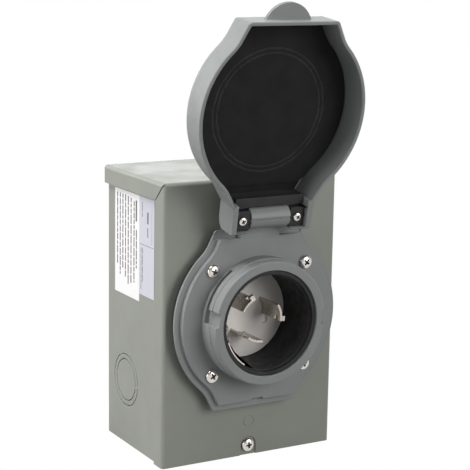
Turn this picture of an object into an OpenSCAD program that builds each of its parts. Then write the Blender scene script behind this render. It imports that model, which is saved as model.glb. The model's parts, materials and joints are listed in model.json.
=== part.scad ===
// Outdoor power inlet box: a sheet-steel enclosure with a round locking inlet
// on its front and a hinged weather lid. The lid is drawn open, as it rests.
// Origin: centre of the wall screw pattern, on the back face.
// +X is right, +Y points into the wall, +Z is up. Millimetres.

/* [Box] */
// Width over the cover's side flanges
box_w = 125; // [115:1:140]
// Height of the box
box_h = 182.4; // [178:0.2:200]
// Height of the wall screw pattern's centre above the bottom
origin_up = 90; // [88:0.5:95]
// Depth from the wall to the front face
box_d = 86; // [82:1:110]
// Sheet thickness
sheet = 1.5; // [1.2:0.1:2]
// Outside radius of the sheet's bends
bend_r = 2.4; // [2.2:0.1:3]
// Height of the cover's side lip under its top
lip_h = 11.8; // [8:0.2:14]
// Depth of the cover's side flanges
cover_flange_d = 11.6; // [9:0.2:16]
// How far the base's side walls stand inside the cover's flanges
side_step = 2.2; // [2:0.1:3]
// Width between the wall screw holes
wall_hole_dx = 76; // [60:1:90]
// Height between the wall screw holes
wall_hole_dz = 130; // [100:1:150]
// Radius of the wall screw holes
wall_hole_r = 2.8; // [2.2:0.1:3.2]

/* [Knockouts] */
// Outer radius of the conduit knockout
ko_outer_r = 17.5; // [15:0.1:20]
// Inner radius of the conduit knockout
ko_inner_r = 14.1; // [10:0.1:14.5]
// Distance of the side knockouts behind the front face
ko_back = 57.2; // [45:0.2:60]
// Height of the side knockouts above the bottom
ko_up = 43.4; // [30:0.2:60]

/* [Inlet flange] */
// Height of the inlet's centre above the wall screw pattern's centre
inlet_z = 4; // [0:0.5:10]
// Radius of the flange's round sides
flange_r = 58.5; // [56:0.5:60]
// Half width of the flange's flat ends
flange_end_x = 30.2; // [26:0.2:34]
// Distance from the centre to the flange's flat ends
flange_end_z = 58.2; // [58:0.2:62]
// Slope of the flange's straight side edges
end_slope = 27; // [20:1:32]
// Radius of the hollow curve beside each straight edge
waist_r = 25; // [15:1:40]
// Thickness of the flange under its outer rim
rim_t = 3.4; // [3.2:0.2:5]
// Thickness of the rim's overhanging edge
edge_t = 1.8; // [1.4:0.1:2.4]
// How far the rim overhangs the gasket
edge_over = 2.4; // [1:0.2:3]
// How far the middle of the flange stands out of its rim
plate_step = 3.2; // [2:0.2:3.6]
// How far the raised middle stands in from the outline
plate_inset = 4.4; // [4.2:0.1:4.8]
// Outer radius of the collar
collar_r = 40.5; // [40:0.5:41]
// Distance from the box's front face to the collar's mouth
collar_out = 26; // [25:0.2:27]
// Angle from level up to the left lock slot's mouth
slot_turn = 9; // [0:1:15]
// Distance from the centre to each flange screw, across and up
screw_off = 33.5; // [33:0.1:35]

/* [Socket] */
// Radius of the socket's mouth
mouth_r = 31.2; // [31:0.1:32]
// Radius of the socket behind the mouth
socket_r = 30.2; // [30:0.1:30.8]
// Outer radius of the barrel
barrel_r = 33.7; // [33.4:0.1:33.8]
// How far the barrel's mouth stands back in the collar
barrel_in = 1.4; // [0.4:0.2:3]
// Distance from the box's front face back to the contact face
face_back = 8.5; // [6:0.5:12]
// Radius at the middle of the blades
blade_r = 14.4; // [13:0.2:16]
// Length of the blades in front of the contact face
blade_l = 23; // [18:0.5:26]
// Thickness of the blades
blade_t = 1.6; // [1.2:0.1:2]
// Angle that each blade covers
blade_span = 46; // [36:1:56]
// Angle of the first blade, counter-clockwise from +X seen from the front
blade_first = 12; // [0:1:30]

/* [Lid] */
// Angle from closed to the open rest
lid_open = 170; // [120:1:175]
// Radius of the lid's round sides
lid_r = 58; // [57.5:0.1:58.2]
// Thickness of the lid's wall
lid_wall = 2.4; // [2:0.1:2.6]
// Half width of the lid's free end
lid_end_x = 31; // [28:0.2:32]
// Distance from the lid's centre to its free end
lid_end_z = 57.8; // [57.8:0.2:59]
// Half width of the lid across its hinge arms
arm_x = 28.4; // [28:0.1:29]
// Thickness of the sealing pad
pad_t = 2; // [1.6:0.2:3]
// Half width of the finger tab
tab_x = 15.5; // [12:0.5:18]
// How far the finger tab stands out
tab_out = 9.9; // [7:0.1:12]

/* [Hinge] */
// Distance of the hinge axis in front of the box
hinge_out = 16.4; // [16.2:0.1:17]
// Distance of the hinge axis above the inlet's centre
hinge_up = 66.7; // [66.4:0.1:67.5]
// Radius of the flange's hinge knuckle
knuckle_r = 7.2; // [6.6:0.1:7.2]
// Half length of the knuckle
knuckle_x = 14; // [12:0.2:14.2]
// Radius of the hinge blocks' stub axles
stub_r = 3; // [2.5:0.1:3.5]

/* [Hidden] */
$fn = 96;

eps = 0.1;
arc_step = 3;
fit_gap = 0.2;
move_gap = 0.4;

steel_paint = [0.52, 0.53, 0.49];
flange_grey = [0.45, 0.47, 0.47];
black = [0.1, 0.1, 0.1];
charcoal = [0.2, 0.2, 0.21];
nickel = [0.85, 0.83, 0.8];
brass = [0.78, 0.62, 0.3];

front_y = -box_d;
top_z = box_h - origin_up;
bottom_z = -origin_up;
base_w = box_w - 2 * side_step;
base_front = front_y + sheet + fit_gap;
base_top = top_z - sheet - 0.8;
return_w = 8;
tab_w = 30;
tab_h = 16;
cover_screw_z = bottom_z + 6.8;
dimple_r = 5.8;
dimple_t = 0.8;
seal_hole_z = bottom_z + 22.9;
seal_hole_r = 4;
score_t = 0.3;
cut_r = 35;

gasket_t = 4;
gasket_y = front_y - gasket_t;
rim_y = gasket_y - rim_t;
plate_y = rim_y - plate_step;
collar_y = front_y - collar_out;
collar_edge = 0.7;
slot_floor_r = collar_r - 3.4;
slot_l = 13.4;
slot_w = 2.8;
slot_half = 6.5;
slot_reach = 48;
groove_t = 1.1;
groove_down = 1.3;
groove_w = 1.1;
step_l = 6.5;
step_t = 0.7;
relief_z = inlet_z + 52.6;
relief_h = 8;
relief_x = 31.5;
barrel_y = collar_y + barrel_in;
mouth_y = barrel_y + 2.6;
barrel_ring_r = 40;
barrel_ring_t = 2.8;
corner_r = 3;

face_y = front_y + face_back;
face_t = 4;
rear_y0 = face_y + face_t;
rear_l = 27;
rear_y1 = rear_y0 + rear_l;
pocket_l = 14;
pocket_w = 10.4;
pocket_r = 18;
blade_rear = rear_y1 - pocket_l;
hook_l = 3.2;
hook_out = 3;
hook_span = 12;
notch_l = 4.4;
blade_angles = [blade_first, blade_first + 120, blade_first + 240];
ground_angle = blade_first + 180;
strip_a0 = 197;
strip_a1 = 236;
strip_t = 0.8;
strip_y = barrel_y + 0.9;
strip_r = socket_r - 0.15;

axis_y = front_y - hinge_out;
axis_z = inlet_z + hinge_up;
lid_rim_y = rim_y - move_gap;
pad_y = collar_y - move_gap;
lid_floor_y = pad_y - pad_t;
lid_face_y = lid_floor_y - lid_wall;
heel_r = lid_rim_y - axis_y;
lid_hinge_z = 58;
lid_hinge_slope = 32;
arm_in = knuckle_x + move_gap;
arm_floor_y = axis_y - 4.7;
block_half = 6.3;
block_x = arm_x - 3.7;
block_y = lid_rim_y - 3.2;
bar_y = lid_rim_y - 5.4;
bar_t = 2.6;
bar_z0 = axis_z - 14;
bar_z1 = axis_z - knuckle_r - move_gap;
pad_end = 50;
pad_edge = 54.4;
pad_edge_t = 0.6;
heel_h = 7.6;
tab_y = lid_rim_y - 8;
tab_t = 2.6;

tab_arc_r = (pow(tab_x, 2) + pow(tab_out, 2)) / (2 * tab_out);

lug_x = -34;
lug_z = -62;
lug_tang = 15;
lug_hole_r = 2.05;
label_t = 0.2;
label_top = top_z - lip_h - 1.2;

head_r = 4.3;
head_t = 2.7;
screw_r = 1.95;
hole_r = 2.3;

// ---- outlines ------------------------------------------------------------

// Points on an arc about c, from angle a0 to a1, every arc_step or less.
function arc(c, r, a0, a1) =
    let (n = ceil(abs(a1 - a0) / arc_step))
    [for (k = [0 : n]) let (a = a0 + (a1 - a0) * k / n) c + r * [cos(a), sin(a)]];

function backwards(points) = [for (k = [len(points) - 1 : -1 : 0]) points[k]];

// Centre of the hollow arc that leads an end's straight edge into the circle.
// An end is [half width, distance from the centre, slope of its edges].
function waist_centre(r, end, i) =
    let (n = [cos(end[2]), sin(end[2])], k = end[0] * n.x + end[1] * n.y - i,
        ri = r - i, wi = waist_r + i)
    (k + wi) * n - sqrt(pow(ri + wi, 2) - pow(k + wi, 2)) * [n.y, -n.x];

function angle_of(p) = atan2(p.y, p.x);

// Right-hand side of one flat end, set in by i, from the circle up to the end.
function end_side(r, end, i) =
    let (n = [cos(end[2]), sin(end[2])], k = end[0] * n.x + end[1] * n.y - i,
        cr = max(corner_r - i, 0.6), top = end[1] - i,
        f = waist_centre(r, end, i), g = [(k - cr - (top - cr) * n.y) / n.x, top - cr])
    concat(arc(f, waist_r + i, 180 + angle_of(f), 180 + end[2]), arc(g, cr, end[2], 90));

// A circle with a flat end at the top and at the bottom, set in by i.
module shield(r, top, bottom, i)
{
    a_top = angle_of(waist_centre(r, top, i));
    a_bottom = angle_of(waist_centre(r, bottom, i));
    round_side = arc([0, 0], r - i, -a_bottom, a_top);
    low_side = [for (p = backwards(end_side(r, bottom, i))) [p.x, -p.y]];
    right = concat(low_side, [for (k = [1 : len(round_side) - 2]) round_side[k]],
        end_side(r, top, i));
    polygon(concat(right, [for (p = backwards(right)) [-p.x, p.y]]));
}

module flange_outline(i)
{
    end = [flange_end_x, flange_end_z, end_slope];
    shield(flange_r, end, end, i);
}

// The lid's outline as when closed: free end down, narrower hinge end up.
module lid_outline(i)
{
    shield(lid_r, [arm_x, lid_hinge_z, lid_hinge_slope], [lid_end_x, lid_end_z, end_slope], i);
}

// Places a 2D outline around the inlet's axis and extrudes it from y0 to y1.
module slab(y0, y1)
{
    translate([0, y1, inlet_z])
        rotate([90, 0, 0])
            linear_extrude(y1 - y0)
                children();
}

// A cylinder along Y from y0 to y1.
module rod_y(r, y0, y1, x = 0, z = 0)
{
    translate([x, y1, z]) rotate([90, 0, 0]) cylinder(r = r, h = y1 - y0);
}

// A cylinder along X from x0 to x1.
module rod_x(r, x0, x1, y, z)
{
    translate([x0, y, z]) rotate([0, 90, 0]) cylinder(r = r, h = x1 - x0);
}

// A curved wall around the inlet's axis, from angle a0 to a1.
module arc_wall(r0, r1, a0, a1, y0, y1)
{
    translate([0, y1, inlet_z])
        rotate([90, 0, 0])
            rotate([0, 0, a0])
                rotate_extrude(angle = a1 - a0)
                    translate([r0, 0]) square([r1 - r0, y1 - y0]);
}

// A box between two corners.
module block(a, b)
{
    translate(a) cube(b - a);
}

// A square rounded at the corners on its low-Y side.
module round_front(w, y0, y1, r)
{
    translate([-w / 2, y0 + r]) square([w, y1 - y0 - r]);
    translate([-w / 2 + r, y0]) square([w - 2 * r, r + eps]);
    for (s = [-1, 1])
        translate([s * (w / 2 - r), y0 + r]) circle(r);
}

// Ring-shaped slits that outline a knockout in a plate normal to Z; ties
// hold the slug. The plate lies from z = -t to 0.
module knockout_slits(r, t, ties)
{
    slit = 0.5;
    tie = 5;
    for (k = [0 : ties - 1])
        rotate([0, 0, k * 360 / ties + 30])
            translate([0, 0, -t - eps])
                rotate_extrude(angle = 360 / ties - tie * 28 / (r + 8))
                    translate([r - slit, 0]) square([slit, t + 2 * eps]);
}

module conduit_knockout()
{
    knockout_slits(ko_outer_r, sheet, 3);
    rotate([0, 0, 55]) knockout_slits(ko_inner_r, sheet, 2);
}

// ---- enclosure -----------------------------------------------------------

module base_box()
{
    color(steel_paint)
    difference()
    {
        union()
        {
            // back and side walls, bent from one sheet
            translate([0, 0, bottom_z])
                linear_extrude(base_top - bottom_z)
                    mirror([0, 1])
                        difference()
                        {
                            round_front(base_w, 0, -base_front, bend_r);
                            translate([0, sheet])
                                round_front(base_w - 2 * sheet, 0, box_d, bend_r - sheet);
                        }
            // bottom
            block([-base_w / 2 + sheet, base_front, bottom_z],
                [base_w / 2 - sheet, -sheet, bottom_z + sheet]);
            // tab that the cover's screw bites into
            block([-tab_w / 2, base_front + dimple_t, bottom_z],
                [tab_w / 2, base_front + dimple_t + sheet, bottom_z + tab_h]);
            // returns along the side walls' front edges
            for (s = [-1, 1])
                scale([s, 1, 1])
                    block([base_w / 2 - return_w, base_front, bottom_z],
                        [base_w / 2 - sheet / 2, base_front + sheet, base_top]);
        }
        for (x = [-1, 1], z = [-1, 1])
            rod_y(wall_hole_r, -sheet - 1, 1, x * wall_hole_dx / 2, z * wall_hole_dz / 2);
        rod_y(1.8, base_front, base_front + 6, 0, cover_screw_z);
        // room for the cover's dimple in the bottom's front edge
        block([-dimple_r - sheet - fit_gap, base_front - 1, bottom_z - 1],
            [dimple_r + sheet + fit_gap, base_front + dimple_t, bottom_z + sheet + eps]);
        rod_y(lug_hole_r, -sheet - 1, 1, lug_x, lug_z + lug_tang);
        for (s = [-1, 1])
            scale([s, 1, 1])
                translate([-base_w / 2, front_y + ko_back, bottom_z + ko_up])
                    rotate([0, -90, 0]) conduit_knockout();
        translate([0, front_y + ko_back, bottom_z])
            rotate([180, 0, 0]) conduit_knockout();
    }
}

// A block with bend radii along its front and side edges, for the cover.
module cover_form(w, y0, z0, z1, r)
{
    intersection()
    {
        translate([0, 0, z0]) linear_extrude(z1 - z0) round_front(w, y0, 0, r);
        translate([0, 0, z1])
            rotate([-90, 0, 0])
                translate([0, 0, y0])
                    linear_extrude(-y0) round_front(w, 0, z1 - z0, r);
        translate([-w / 2, 0, z1])
            rotate([0, 90, 0])
                linear_extrude(w)
                    front_top_profile(y0, z1 - z0, r);
    }
}

// Side view of the cover: X runs down from the top, Y runs to the back.
module front_top_profile(y0, h, r)
{
    translate([r, y0]) square([h - r, -y0]);
    translate([0, y0 + r]) square([r + eps, -y0 - r]);
    translate([r, y0 + r]) circle(r);
}

module front_cover()
{
    mitre = [cover_flange_d, lip_h];
    color(steel_paint)
    difference()
    {
        cover_form(box_w, front_y, bottom_z, top_z, bend_r);
        // the hollow behind the sheet, but for the dimple's back
        difference()
        {
            translate([0, eps, 0])
                cover_form(box_w - 2 * sheet, front_y + sheet - eps, bottom_z - 1,
                    top_z - sheet, bend_r - sheet);
            rod_y(dimple_r + sheet, front_y, front_y + sheet + dimple_t, 0, cover_screw_z);
            block([-dimple_r - sheet, front_y, bottom_z],
                [dimple_r + sheet, front_y + sheet + dimple_t, cover_screw_z]);
        }
        // open sides and back, below the lips and behind the flanges
        block([-box_w, front_y + cover_flange_d, bottom_z - 1], [box_w, 1, top_z - lip_h]);
        // mitre slits at the top front corners
        for (s = [-1, 1])
            scale([s, 1, 1])
                translate([box_w / 2 - sheet - eps, front_y, top_z])
                    rotate([90, 0, 90])
                        linear_extrude(sheet + 1)
                            polygon([[0.2, -0.9], [mitre.x + eps, -mitre.y - 0.4],
                                [mitre.x + eps, -mitre.y + 0.4], [0.9, -0.2]]);
        // dimple around the screw
        rod_y(dimple_r, front_y - 1, front_y + dimple_t, 0, cover_screw_z);
        block([-dimple_r, front_y - 1, bottom_z - 1],
            [dimple_r, front_y + dimple_t, cover_screw_z]);
        rod_y(hole_r, front_y - 1, front_y + 4, 0, cover_screw_z);
        // scored seal-wire knockout
        translate([0, front_y, seal_hole_z])
            rotate([90, 0, 0]) knockout_slits(seal_hole_r, score_t, 2);
        // inlet cut-out and flange screw holes
        rod_y(cut_r, front_y - 1, front_y + 4, 0, inlet_z);
        for (x = [-1, 1], z = [-1, 1])
            rod_y(hole_r, front_y - 1, front_y + 4, x * screw_off, inlet_z + z * screw_off);
    }
}

// A pan-head screw along Y with its head's underside at y.
module pan_screw(x, y, z, l, hr = head_r, ht = head_t, sr = screw_r)
{
    translate([x, y, z])
        rotate([90, 0, 0])
        {
            rotate_extrude()
                difference()
                {
                    union()
                    {
                        square([hr, ht * 0.45]);
                        translate([0, ht * 0.45]) intersection()
                        {
                            square([hr, ht * 0.55]);
                            translate([0, ht * 0.55 - dome_r(hr, ht)]) circle(dome_r(hr, ht));
                        }
                    }
                    translate([-hr, -1]) square([hr, ht + 2]);
                }
            translate([0, 0, -l]) cylinder(r = sr, h = l + eps);
        }
}

// Radius of the dome that tops a pan head.
function dome_r(hr, ht) = (pow(hr, 2) + pow(ht * 0.55, 2)) / (2 * ht * 0.55);

module cover_screw()
{
    color(nickel) pan_screw(0, front_y + dimple_t, cover_screw_z, 9, sr = 1.75);
}

module ground_lug()
{
    color([0.75, 0.76, 0.77])
    difference()
    {
        union()
        {
            block([lug_x - 6, -sheet - 12, lug_z - 6], [lug_x + 6, -sheet, lug_z + 7]);
            block([lug_x - 5, -sheet - 3, lug_z + 6], [lug_x + 5, -sheet, lug_z + 20]);
        }
        translate([lug_x, -sheet - 5.5, lug_z - 7]) cylinder(r = 3.2, h = 15);
        rod_y(2.5, -sheet - 13, -sheet - 8, lug_x, lug_z + 0.5);
        rod_y(2.2, -sheet - 4, 0, lug_x, lug_z + lug_tang);
    }
}

module ground_screws()
{
    color([0.2, 0.5, 0.28])
    {
        pan_screw(lug_x, -sheet - 3, lug_z + lug_tang, sheet + 2.8, 4, 2.4, 2);
        rod_y(2.45, -sheet - 14.5, -sheet - 8.5, lug_x, lug_z + 0.5);
    }
}

module rating_label()
{
    color([0.95, 0.94, 0.93])
        block([-base_w / 2 - label_t, front_y + 37.8, bottom_z + 100.6],
            [-base_w / 2, front_y + 73.9, label_top]);
}

module notice_label()
{
    color([0.78, 0.78, 0.82])
        block([-base_w / 2 - label_t, front_y + 16.6, bottom_z + 105.9],
            [-base_w / 2, front_y + 37.6, label_top]);
}

// ---- inlet ---------------------------------------------------------------

module screw_holes(r, y0, y1)
{
    for (x = [-1, 1], z = [-1, 1])
        rod_y(r, y0, y1, x * screw_off, inlet_z + z * screw_off);
}

module flange_gasket()
{
    color(black)
    difference()
    {
        slab(gasket_y, front_y) flange_outline(edge_over);
        rod_y(cut_r + 0.5, gasket_y - 1, front_y + 1, 0, inlet_z);
        screw_holes(hole_r, gasket_y - 1, front_y + 1);
    }
}

// The L-shaped slot in the collar that takes a locking ring's pin.
module lock_slot(a)
{
    slot_end = collar_y + slot_l;
    arc_wall(slot_floor_r, collar_r + 1, a - slot_half, a + slot_half, collar_y - 1, slot_end);
    arc_wall(slot_floor_r, collar_r + 1, a - slot_reach, a + slot_half,
        slot_end - slot_w, slot_end);
}

module inlet_flange()
{
    color(flange_grey)
    difference()
    {
        union()
        {
            slab(rim_y, rim_y + edge_t) flange_outline(0);
            slab(rim_y, gasket_y) flange_outline(edge_over);
            slab(plate_y, rim_y + eps) flange_outline(plate_inset);
            rod_y(collar_r, collar_y + step_l, plate_y + eps, 0, inlet_z);
            rod_y(collar_r - step_t, collar_y + collar_edge, plate_y + eps, 0, inlet_z);
            translate([0, collar_y + collar_edge, inlet_z])
                rotate([90, 0, 0])
                    cylinder(r1 = collar_r - step_t, r2 = collar_r - step_t - collar_edge,
                        h = collar_edge);
            // hinge knuckle and its web
            rod_x(knuckle_r, -knuckle_x, knuckle_x, axis_y, axis_z);
            block([-knuckle_x, plate_y, inlet_z + flange_end_z - plate_inset - 4],
                [knuckle_x, rim_y + edge_t, axis_z + knuckle_r / 2]);
        }
        rod_y(barrel_r + 0.2, collar_y - 1, gasket_y + 1, 0, inlet_z);
        rod_y(barrel_ring_r + 0.2, gasket_y - barrel_ring_t - 0.2, gasket_y + 1, 0, inlet_z);
        screw_holes(hole_r, plate_y - 1, gasket_y + 1);
        rod_x(stub_r + 0.06, -knuckle_x - 1, knuckle_x + 1, axis_y, axis_z);
        // reliefs for the lid's arms
        for (s = [-1, 1])
            scale([s, 1, 1])
                block([knuckle_x, plate_y - 1, relief_z],
                    [relief_x, rim_y + 0.8, relief_z + relief_h]);
        for (a = [180 - slot_turn, 0])
            lock_slot(a);
        // parting groove along the knuckle
        block([-knuckle_x - 1, axis_y - knuckle_r - 1, axis_z - groove_down],
            [knuckle_x + 1, axis_y - knuckle_r + groove_t, axis_z - groove_down + groove_w]);
        // drain notch at the bottom edge
        block([-4, plate_y - 1, inlet_z - flange_end_z - 1],
            [4, rim_y - 0.6, inlet_z - flange_end_z + plate_inset + 1.4]);
    }
}

module inlet_barrel()
{
    color(black)
    difference()
    {
        union()
        {
            rod_y(barrel_r, barrel_y, rear_y0, 0, inlet_z);
            rod_y(barrel_ring_r, gasket_y - barrel_ring_t, gasket_y, 0, inlet_z);
        }
        rod_y(mouth_r, barrel_y - 1, mouth_y, 0, inlet_z);
        rod_y(socket_r, barrel_y, rear_y0 + 1, 0, inlet_z);
        arc_wall(socket_r - 1, strip_r + strip_t, strip_a0, strip_a1, mouth_y - 1, rear_y0 + 1);
    }
}

// The blade's curved plate from y0 to its rear end, grown all round for a slot.
module blade_form(a, y0, grow = 0)
{
    half = blade_span / 2 + grow * 4;
    arc_wall(blade_r - blade_t / 2 - grow, blade_r + blade_t / 2 + grow, a - half, a + half,
        y0, blade_rear);
}

// A locking blade: a curved plate with a notch behind its tip, hooked or plain.
module blade(a, hooked = true)
{
    tip_y = face_y - blade_l;
    edge = a - blade_span / 2;
    notch_y = tip_y + hook_l;
    color(nickel)
    difference()
    {
        union()
        {
            blade_form(a, tip_y);
            if (hooked)
                arc_wall(blade_r, blade_r + hook_out, edge + 0.7, edge + hook_span,
                    tip_y + 0.3, notch_y + 1);
        }
        arc_wall(blade_r - 3, blade_r + hook_out + 2, edge - 1, edge + hook_span + 1,
            notch_y, notch_y + notch_l);
    }
}

module blade_x() { blade(blade_angles[0]); }
module blade_y() { blade(blade_angles[1]); }
module blade_w() { blade(blade_angles[2], false); }

module contact_face()
{
    color([0.66, 0.64, 0.61])
    difference()
    {
        rod_y(socket_r - 0.25, face_y, rear_y0, 0, inlet_z);
        for (a = blade_angles)
        {
            blade_form(a, face_y - 1, 0.1);
            translate([0, 0, inlet_z])
                rotate([0, -a + 36, 0])
                    rod_y(2.6, face_y - 1, face_y + 2, blade_r + 2.5, 0);
        }
        arc_wall(strip_r - 0.2, socket_r, strip_a0 - 1, strip_a1 + 1, face_y - 1, rear_y0 + 1);
    }
}

// Thin sprung strip along the socket's wall that meets the plug's shell.
module ground_contact()
{
    color(nickel)
    {
        arc_wall(strip_r, strip_r + strip_t - 0.1, strip_a0 + 1, strip_a1 - 1,
            strip_y, blade_rear);
        arc_wall(pocket_r + 6, strip_r + strip_t - 0.1, strip_a0 + 1, strip_a0 + 12,
            blade_rear - 1.2, blade_rear);
    }
}

module at_terminals()
{
    for (a = concat(blade_angles, [ground_angle]))
        translate([0, 0, inlet_z]) rotate([0, -a, 0]) translate([pocket_r, 0, 0]) children();
}

module rear_body()
{
    w = pocket_w / 2;
    color(black)
    difference()
    {
        rod_y(barrel_r, rear_y0, rear_y1, 0, inlet_z);
        at_terminals()
        {
            block([-w, blade_rear, -w], [w, rear_y1 + 1, w]);
            rod_x(3.8, w - 1, barrel_r, rear_y1 - pocket_l / 2, 0);
        }
        for (a = blade_angles)
            blade_form(a, rear_y0 - 1, 0.1);
        arc_wall(strip_r - 0.1, strip_r + strip_t, strip_a0, strip_a1, rear_y0 - 1,
            blade_rear + eps);
        arc_wall(pocket_r + 5, strip_r + strip_t, strip_a0, strip_a0 + 13, blade_rear - 1.4,
            blade_rear + eps);
    }
}

module terminal_clamps()
{
    w = pocket_w / 2 - 0.4;
    color(brass)
    at_terminals()
        difference()
        {
            block([-w, blade_rear + 0.4, -w], [w, rear_y1 - 1, w]);
            rod_y(2.9, blade_rear, rear_y1, -0.8, 0);
            rod_x(2.4, 0, w + 1, rear_y1 - pocket_l / 2, 0);
        }
}

module terminal_screws()
{
    color(nickel)
    at_terminals()
    {
        rod_x(2.3, 2.6, 12.4, rear_y1 - pocket_l / 2, 0);
        rod_x(3.5, 9.4, 12.4, rear_y1 - pocket_l / 2, 0);
    }
}

module flange_screws()
{
    color(nickel)
    for (x = [-1, 1], z = [-1, 1])
        pan_screw(x * screw_off, plate_y, inlet_z + z * screw_off, front_y - plate_y + 7);
}

module flange_nuts()
{
    color(nickel)
    for (x = [-1, 1], z = [-1, 1])
        difference()
        {
            translate([x * screw_off, front_y + sheet + 3.2, inlet_z + z * screw_off])
                rotate([90, 0, 0]) cylinder(r = 4.6, h = 3.2, $fn = 6);
            rod_y(screw_r + 0.05, front_y, front_y + 8, x * screw_off,
                inlet_z + z * screw_off);
        }
}

// ---- lid, drawn closed and turned to its open rest -------------------------

module opened()
{
    translate([0, axis_y, axis_z])
        rotate([-lid_open, 0, 0])
            translate([0, -axis_y, -axis_z]) children();
}

module lid_shell()
{
    color(flange_grey)
    opened()
    difference()
    {
        union()
        {
            difference()
            {
                slab(lid_face_y, lid_rim_y) lid_outline(0);
                slab(lid_floor_y, lid_rim_y + 1) lid_outline(lid_wall);
            }
            // finger tab
            difference()
            {
                rod_y(tab_arc_r, tab_y - tab_t, tab_y,
                    0, inlet_z - lid_end_z - tab_out + tab_arc_r);
                block([-40, tab_y - tab_t - 1, inlet_z - lid_end_z + 1],
                    [40, tab_y + 1, inlet_z + 20]);
            }
            // hinge arms
            for (s = [-1, 1])
                scale([s, 1, 1])
                {
                    rod_x(heel_r, arm_in, arm_x, axis_y, axis_z);
                    block([arm_in, axis_y - heel_r, inlet_z + lid_hinge_z - lid_wall],
                        [arm_x, lid_rim_y, axis_z]);
                    block([arm_in, axis_y, axis_z], [arm_x, lid_rim_y, axis_z + heel_h]);
                }
        }
        // room for the knuckle, its web and the retainer between the arms
        block([-arm_in, axis_y - heel_r - 6, bar_z1], [arm_in, lid_rim_y + 1, axis_z + 20]);
        block([-block_x, bar_y - bar_t, bar_z0], [block_x, lid_rim_y + 1, axis_z]);
        // pockets for the hinge blocks
        for (s = [-1, 1])
            scale([s, 1, 1])
            {
                block([arm_in - 1, arm_floor_y, axis_z - block_half - 0.1],
                    [block_x + 0.1, lid_rim_y + 1, axis_z + block_half + 0.1]);
                rod_y(1.3, arm_floor_y - 4, arm_floor_y + 1, (arm_in + block_x) / 2, axis_z);
            }
    }
}

module lid_pad()
{
    color(black)
    opened()
    {
        difference()
        {
            slab(lid_floor_y, pad_y) lid_outline(lid_wall + 0.3);
            block([-lid_r, lid_floor_y + pad_edge_t, inlet_z + pad_end],
                [lid_r, pad_y + 1, axis_z]);
        }
        // edge turned up along the hinge end
        intersection()
        {
            slab(lid_floor_y, bar_y - bar_t - fit_gap) lid_outline(lid_wall + 0.3);
            block([-lid_r, lid_floor_y, inlet_z + pad_edge], [lid_r, lid_rim_y, axis_z]);
        }
    }
}

// Dark bar across the hinge end that holds the pad's turned-up edge.
module pad_retainer()
{
    half = block_x - fit_gap;
    color(charcoal)
    opened()
    block([-half, bar_y - bar_t + eps, bar_z0 + eps], [half, bar_y, bar_z1 - fit_gap]);
}

module hinge_block()
{
    difference()
    {
        union()
        {
            block([arm_in, arm_floor_y + 0.1, axis_z - block_half],
                [block_x, block_y, axis_z + block_half]);
            rod_x(stub_r, 3, arm_in + 1, axis_y, axis_z);
        }
        rod_y(1.6, arm_floor_y - 1, block_y + 1, (arm_in + block_x) / 2, axis_z);
    }
}

module hinge_block_left()
{
    color(charcoal) opened() scale([-1, 1, 1]) hinge_block();
}

module hinge_block_right()
{
    color(charcoal) opened() hinge_block();
}

module hinge_block_screws()
{
    color(nickel)
    opened()
    for (s = [-1, 1])
        translate([s * (arm_in + block_x) / 2, block_y, axis_z])
            rotate([0, 0, 180])
                pan_screw(0, 0, 0, block_y - arm_floor_y + 2.4, 2.8, 1.7, 1.25);
}

base_box();
front_cover();
cover_screw();
ground_lug();
ground_screws();
rating_label();
notice_label();
flange_gasket();
inlet_flange();
inlet_barrel();
contact_face();
blade_x();
blade_y();
blade_w();
ground_contact();
rear_body();
terminal_clamps();
terminal_screws();
flange_screws();
flange_nuts();
lid_shell();
lid_pad();
pad_retainer();
hinge_block_left();
hinge_block_right();
hinge_block_screws();
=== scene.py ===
"""Looks of a wall-mounted power inlet box with a hinged weather lid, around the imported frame."""

import json
import math
import random

import bmesh
import bpy
from mathutils import Matrix, Vector


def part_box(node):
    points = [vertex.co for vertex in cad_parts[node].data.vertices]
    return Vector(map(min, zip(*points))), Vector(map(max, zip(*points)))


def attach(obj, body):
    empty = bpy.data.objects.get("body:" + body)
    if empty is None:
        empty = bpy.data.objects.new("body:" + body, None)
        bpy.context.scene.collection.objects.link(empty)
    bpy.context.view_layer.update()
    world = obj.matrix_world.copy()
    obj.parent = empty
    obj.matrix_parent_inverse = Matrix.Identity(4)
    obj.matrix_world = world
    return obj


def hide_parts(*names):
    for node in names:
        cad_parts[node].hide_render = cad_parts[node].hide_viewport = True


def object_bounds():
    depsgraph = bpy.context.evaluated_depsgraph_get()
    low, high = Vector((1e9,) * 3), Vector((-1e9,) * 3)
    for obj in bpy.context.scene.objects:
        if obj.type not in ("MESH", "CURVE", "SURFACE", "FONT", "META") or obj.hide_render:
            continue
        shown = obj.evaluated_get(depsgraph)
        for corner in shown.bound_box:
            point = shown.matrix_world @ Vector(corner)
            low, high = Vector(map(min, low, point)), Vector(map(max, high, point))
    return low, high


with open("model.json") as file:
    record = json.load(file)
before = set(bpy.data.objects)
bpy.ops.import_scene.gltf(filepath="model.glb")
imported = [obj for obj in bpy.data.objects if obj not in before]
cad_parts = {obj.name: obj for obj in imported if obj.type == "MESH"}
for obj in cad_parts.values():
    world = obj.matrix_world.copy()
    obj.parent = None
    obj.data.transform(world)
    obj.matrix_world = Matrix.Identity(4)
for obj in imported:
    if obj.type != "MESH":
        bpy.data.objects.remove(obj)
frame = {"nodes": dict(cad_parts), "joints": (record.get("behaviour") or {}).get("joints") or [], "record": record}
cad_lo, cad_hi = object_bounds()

MM = 0.001
nodes = frame["nodes"]
hinge = next(j for j in frame["joints"] if j["name"] == "lid_hinge")
hinge_axis = Vector(hinge["pos_m"])
barrel_lo, barrel_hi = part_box("inlet_barrel")
inlet_z = (barrel_lo.z + barrel_hi.z) / 2


# ---- camera, lights and floor ----------------------------------------------

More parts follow.
